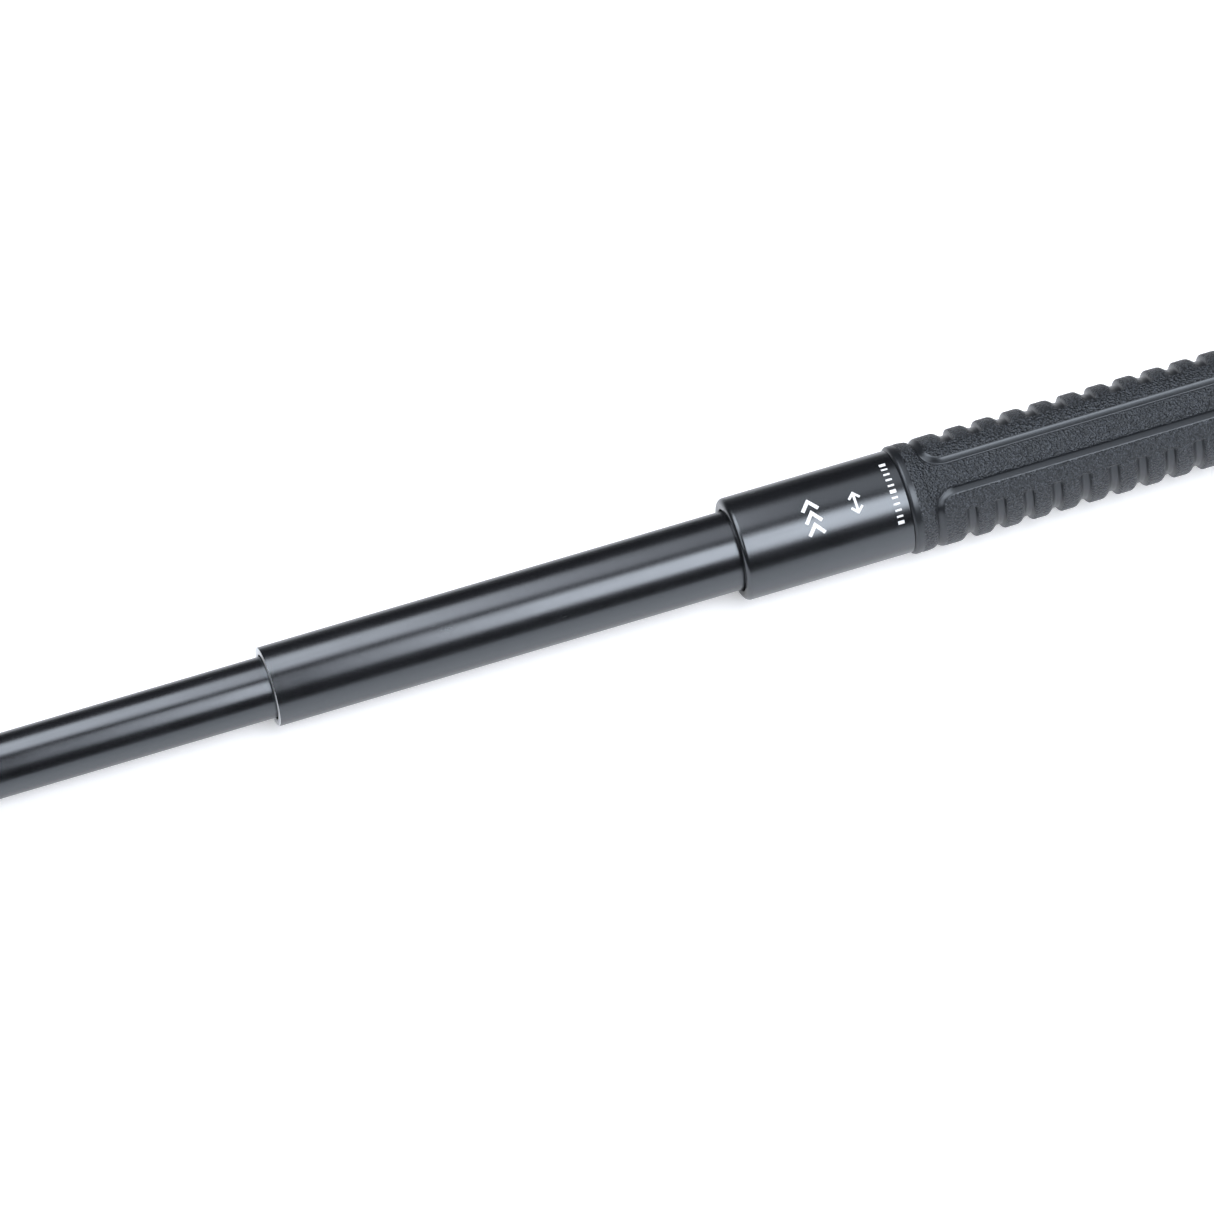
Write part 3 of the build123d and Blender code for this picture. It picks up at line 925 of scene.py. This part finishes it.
# Lights, in metres: each box over or behind the baton is two of half its brightness,
# a narrow core with a wider edge a little further off
LIGHT_COLOUR = (0.92, 0.95, 1.0)
LAYERS = (("core", 0.80, 1.30), ("edge", 1.15, 1.36))
LAYER_SHARE = 0.5
# (name, degrees round the axis, length, width, shift along the baton, radiance)
BOXES = (("key", 60.5, 1.0, 0.92, 0.50, 7.4),
         ("tip", 117, 1.0, 1.06, -0.40, 5.4),
         ("rear", 117, 0.9, 1.06, 0.52, 1.2))
LEFT_DIRECTION = Vector((-0.62, 0.05, 0.62))
LEFT_DISTANCE, LEFT_LENGTH, LEFT_WIDTH, LEFT_RADIANCE = 1.4, 1.5, 0.35, 4.5

# Background: how bright it is to the camera, and to everything else
WHITE_STRENGTH = 1.05
DIM_COLOUR, DIM_STRENGTH = (0.8, 0.9, 1.0, 1), 0.03

# Floor: its size and its tones, where its reflection is painted into shade behind the baton (m)
# and by how much, and its glow to the camera and to everything else
CONTACT_KNOB_X = KNOB_FRONT + NOSE_ROUND
CONTACT_CAP_X = CAP_SEAT + FLANGE_FRONT_ROUND
FLOOR_SIZE = 16.0
PAPER_TONES = (0.83, 0.83, 0.84), (0.85, 0.85, 0.86)
PAPER_GLOW = (0.97, 0.98, 1.0, 1)
BLACK = (0.0, 0.0, 0.0)
FADE_FROM, FADE_TO, FADE_MOST = 0.012, 0.095, 0.95
GLOW_TO_CAMERA, GLOW_TO_OTHERS = 0.42, 0.24


def camera():
    """A long lens from the front left and above, aimed at the middle tube."""
    az, el = CAMERA_AZIMUTH, CAMERA_ELEVATION
    back = Vector((math.sin(az) * math.cos(el), -math.cos(az) * math.cos(el), math.sin(el)))
    right = Vector((math.cos(az), math.sin(az), 0))
    up = back.cross(right)
    aim = Vector((MOUTH - AIM_BEFORE_MOUTH, 0, AXIS_Z)) - up * AIM_BELOW_AXIS
    data = bpy.data.cameras.new("camera")
    data.lens, data.sensor_width = LENS, SENSOR
    distance = SHOWN_WIDTH * LENS / SENSOR
    data.clip_start, data.clip_end = NEAR_CLIP, FAR_CLIP
    made = bpy.data.objects.new("camera", data)
    made.location = (aim + back * distance) * MM
    made.rotation_euler = back.to_track_quat("Z", "Y").to_euler()
    bpy.context.scene.collection.objects.link(made)
    bpy.context.scene.camera = made


def softbox(name, direction, distance, length, width, shift, radiance):
    """An area light that faces the baton from a direction, its length kept level."""
    data = bpy.data.lights.new(name, "AREA")
    data.shape = "RECTANGLE"
    data.size, data.size_y = length, width
    data.energy = radiance * math.pi * width * length
    data.color = LIGHT_COLOUR
    lamp = bpy.data.objects.new(name, data)
    direction = direction.normalized()
    lamp.location = direction * distance + Vector((shift, 0, AXIS_Z * MM))
    level = Vector((0, 0, 1)).cross(direction).normalized()
    turn = Matrix((level, direction.cross(level), direction)).transposed()
    lamp.rotation_euler = turn.to_euler()
    lamp.visible_camera = False
    bpy.context.scene.collection.objects.link(lamp)


def round_the_axis(degrees):
    """The direction at an angle about the baton, from the near horizon over its top."""
    angle = math.radians(degrees)
    return Vector((0, -math.cos(angle), math.sin(angle)))


def lights():
    """A key box over the handle, boxes behind the tip and the rear, one at the left."""
    for layer, spread, away in LAYERS:
        for name, degrees, length, width, shift, radiance in BOXES:
            softbox(name + "_" + layer, round_the_axis(degrees), away, length,
                    width * spread, shift, radiance * LAYER_SHARE)
    softbox("left", LEFT_DIRECTION, LEFT_DISTANCE, LEFT_LENGTH, LEFT_WIDTH, 0.0,
            LEFT_RADIANCE)


def surroundings():
    """Plain white to the camera, and dim to the reflections."""
    world = bpy.data.worlds.new("world")
    bpy.context.scene.world = world
    world.use_nodes = True
    tree = world.node_tree
    dim = tree.nodes["Background"]
    dim.inputs["Color"].default_value = DIM_COLOUR
    dim.inputs["Strength"].default_value = DIM_STRENGTH
    white = tree.nodes.new("ShaderNodeBackground")
    white.inputs["Strength"].default_value = WHITE_STRENGTH
    choice = tree.nodes.new("ShaderNodeMixShader")
    rays = tree.nodes.new("ShaderNodeLightPath")
    tree.links.new(rays.outputs["Is Camera Ray"], choice.inputs[0])
    tree.links.new(dim.outputs[0], choice.inputs[1])
    tree.links.new(white.outputs[0], choice.inputs[2])
    tree.links.new(choice.outputs[0], tree.nodes["World Output"].inputs["Surface"])


def floor():
    """The surface under the baton, which rests on its knob and its tail cap."""
    rise = (AXIS_Z - KNOB_R) / (CONTACT_KNOB_X - CONTACT_CAP_X)
    half = FLOOR_SIZE / 2
    mesh = bpy.data.meshes.new("floor")
    corners = []
    for x, y in ((-half, -half), (half, -half), (half, half), (-half, half)):
        corners.append((x, y, (x - CONTACT_CAP_X * MM) * rise))
    mesh.from_pydata(corners, [], [(0, 1, 2, 3)])
    plane = bpy.data.objects.new("floor", mesh)
    bpy.context.scene.collection.objects.link(plane)
    mesh.materials.append(floor_material())


def floor_material():
    """White paper. Its reflection in the baton is painted dark behind it, a painted shade that
    stands in for a dark studio.
    """
    n = Nodes("floor_white")
    patches = n.noise(scale=3, detail=2)
    behind = n.node("SeparateXYZ", {"Vector": n.coords}).outputs["Y"]
    rays = n.node("LightPath")
    # Painted shade: glossy rays see the floor behind the baton darkened, in its colour and its
    # glow
    fade = n.map_range(behind, FADE_FROM, FADE_TO, 0.0, FADE_MOST)
    faded = n.maths("MULTIPLY", rays.outputs["Is Glossy Ray"], fade)
    n.set(Base_Color=n.mix(faded, n.mix(patches, *PAPER_TONES), BLACK), Roughness=0.8)
    n.set(Emission_Color=PAPER_GLOW)
    glow = n.map_range(
        rays.outputs["Is Camera Ray"], 0.0, 1.0, GLOW_TO_OTHERS, GLOW_TO_CAMERA)
    unfaded = n.map_range(faded, 0.0, 1.0, 1.0, 0.0)
    n.set(Emission_Strength=n.maths("MULTIPLY", glow, unfaded))
    return n.material


camera()
lights()
surroundings()
floor()
handle_tube()
middle_tube()
tip_tube()
tip_knob()
grip_sleeve()
tail_cap()
end_disc()
o_ring()
buffer_ring()
carry_over("retaining_clip", SPRING_STEEL)
carry_over("clip_lock_washer", ZINC)
carry_over("clip_screw", ZINC)
printed_marks()

bpy.context.scene.view_settings.view_transform = "Standard"
